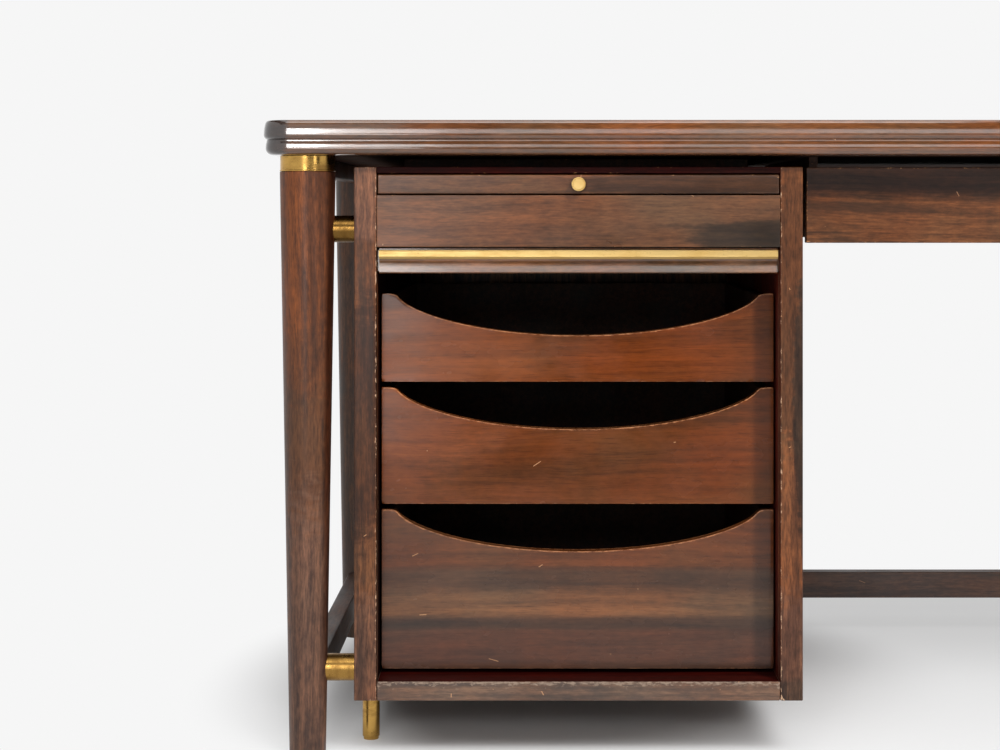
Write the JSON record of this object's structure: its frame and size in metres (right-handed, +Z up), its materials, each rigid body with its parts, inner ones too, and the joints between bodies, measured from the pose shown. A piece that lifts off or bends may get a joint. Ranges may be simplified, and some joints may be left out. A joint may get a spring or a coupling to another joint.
{
  "type": "tambour desk",
  "caption": "Dark wood writing desk with turned tapered legs, a moulded top, and one pedestal whose tambour shutter closes over scooped-front drawers below a pull-out writing slide.",
  "frame": {"origin": "on the floor under the middle of the desktop", "axes": "+Z up, front towards -Y, pedestal at -X"},
  "size_m": [1.51, 0.75, 0.75],
  "materials": {
    "dark_wood": "satin lacquer",
    "red_wood": "satin lacquer",
    "inner_wood": "matte stain",
    "brass": "polished, lightly aged"
  },
  "bodies": {
    "frame": {"top_panel": "dark_wood", "top_edge_band": "dark_wood", "leg_front_left": "dark_wood", "leg_front_right": "dark_wood", "leg_rear_left": "dark_wood", "leg_rear_right": "dark_wood", "ferrule_front_left": "brass", "ferrule_front_right": "brass", "ferrule_rear_left": "brass", "ferrule_rear_right": "brass", "side_rail_left": "dark_wood", "side_rail_right": "dark_wood", "back_rail": "dark_wood", "side_stretcher_left": "dark_wood", "side_stretcher_right": "dark_wood", "back_stretcher": "dark_wood", "pedestal_side_left": "dark_wood", "pedestal_side_right": "dark_wood", "pedestal_top": "dark_wood", "pedestal_floor": "dark_wood", "pedestal_back": "dark_wood", "pedestal_front_panel": "dark_wood", "pedestal_packer": "inner_wood", "brass_rod_upper": "brass", "brass_rod_lower": "brass", "pedestal_foot_front": "brass", "pedestal_foot_rear": "brass", "slide_bearer_left": "inner_wood", "slide_bearer_right": "inner_wood", "drawer_top_runner_left": "inner_wood", "drawer_top_runner_right": "inner_wood", "drawer_middle_runner_left": "inner_wood", "drawer_middle_runner_right": "inner_wood", "drawer_bottom_runner_left": "inner_wood", "drawer_bottom_runner_right": "inner_wood", "kneehole_hanger_left": "inner_wood", "kneehole_hanger_right": "inner_wood", "tambour_bend": "dark_wood"},
    "tambour_lead": {"tambour_lead_rail": "dark_wood", "tambour_pull": "brass"},
    "tambour_curtain": {"tambour_curtain": "dark_wood"},
    "writing_slide": {"writing_slide": "dark_wood", "writing_slide_knob": "brass"},
    "drawer_top": {"drawer_top_front": "red_wood", "drawer_top_box": "inner_wood", "drawer_top_floor": "inner_wood"},
    "drawer_middle": {"drawer_middle_front": "red_wood", "drawer_middle_box": "inner_wood", "drawer_middle_floor": "inner_wood"},
    "drawer_bottom": {"drawer_bottom_front": "red_wood", "drawer_bottom_box": "inner_wood", "drawer_bottom_floor": "inner_wood"},
    "kneehole_drawer": {"kneehole_drawer_front": "dark_wood", "kneehole_drawer_box": "inner_wood", "kneehole_drawer_floor": "inner_wood", "kneehole_drawer_knob": "brass"}
  },
  "joints": [
    {"name": "tambour_slide", "type": "slide", "parent": "frame", "child": "tambour_lead", "axis": [0, 0, 1], "range_m": [-0.4794, 0], "deforming": ["tambour_curtain", "tambour_bend"]},
    {"name": "curtain_turn", "type": "hinge", "parent": "frame", "child": "tambour_curtain", "pos_m": [-0.384, -0.06168, 0.36212], "axis": [1, 0, 0], "range_deg": [0, 90], "deforming": ["tambour_curtain"]},
    {"name": "writing_slide_pull", "type": "slide", "parent": "frame", "child": "writing_slide", "axis": [0, -1, 0], "range_m": [0, 0.3]},
    {"name": "drawer_top_pull", "type": "slide", "parent": "frame", "child": "drawer_top", "axis": [0, -1, 0], "range_m": [0, 0.34]},
    {"name": "drawer_middle_pull", "type": "slide", "parent": "frame", "child": "drawer_middle", "axis": [0, -1, 0], "range_m": [0, 0.34]},
    {"name": "drawer_bottom_pull", "type": "slide", "parent": "frame", "child": "drawer_bottom", "axis": [0, -1, 0], "range_m": [0, 0.34]},
    {"name": "kneehole_drawer_pull", "type": "slide", "parent": "frame", "child": "kneehole_drawer", "axis": [0, -1, 0], "range_m": [0, 0.3]}
  ],
  "couplings": [
    {"joint": "curtain_turn", "follows": "tambour_slide", "rad_per_m": -3.2766}
  ]
}
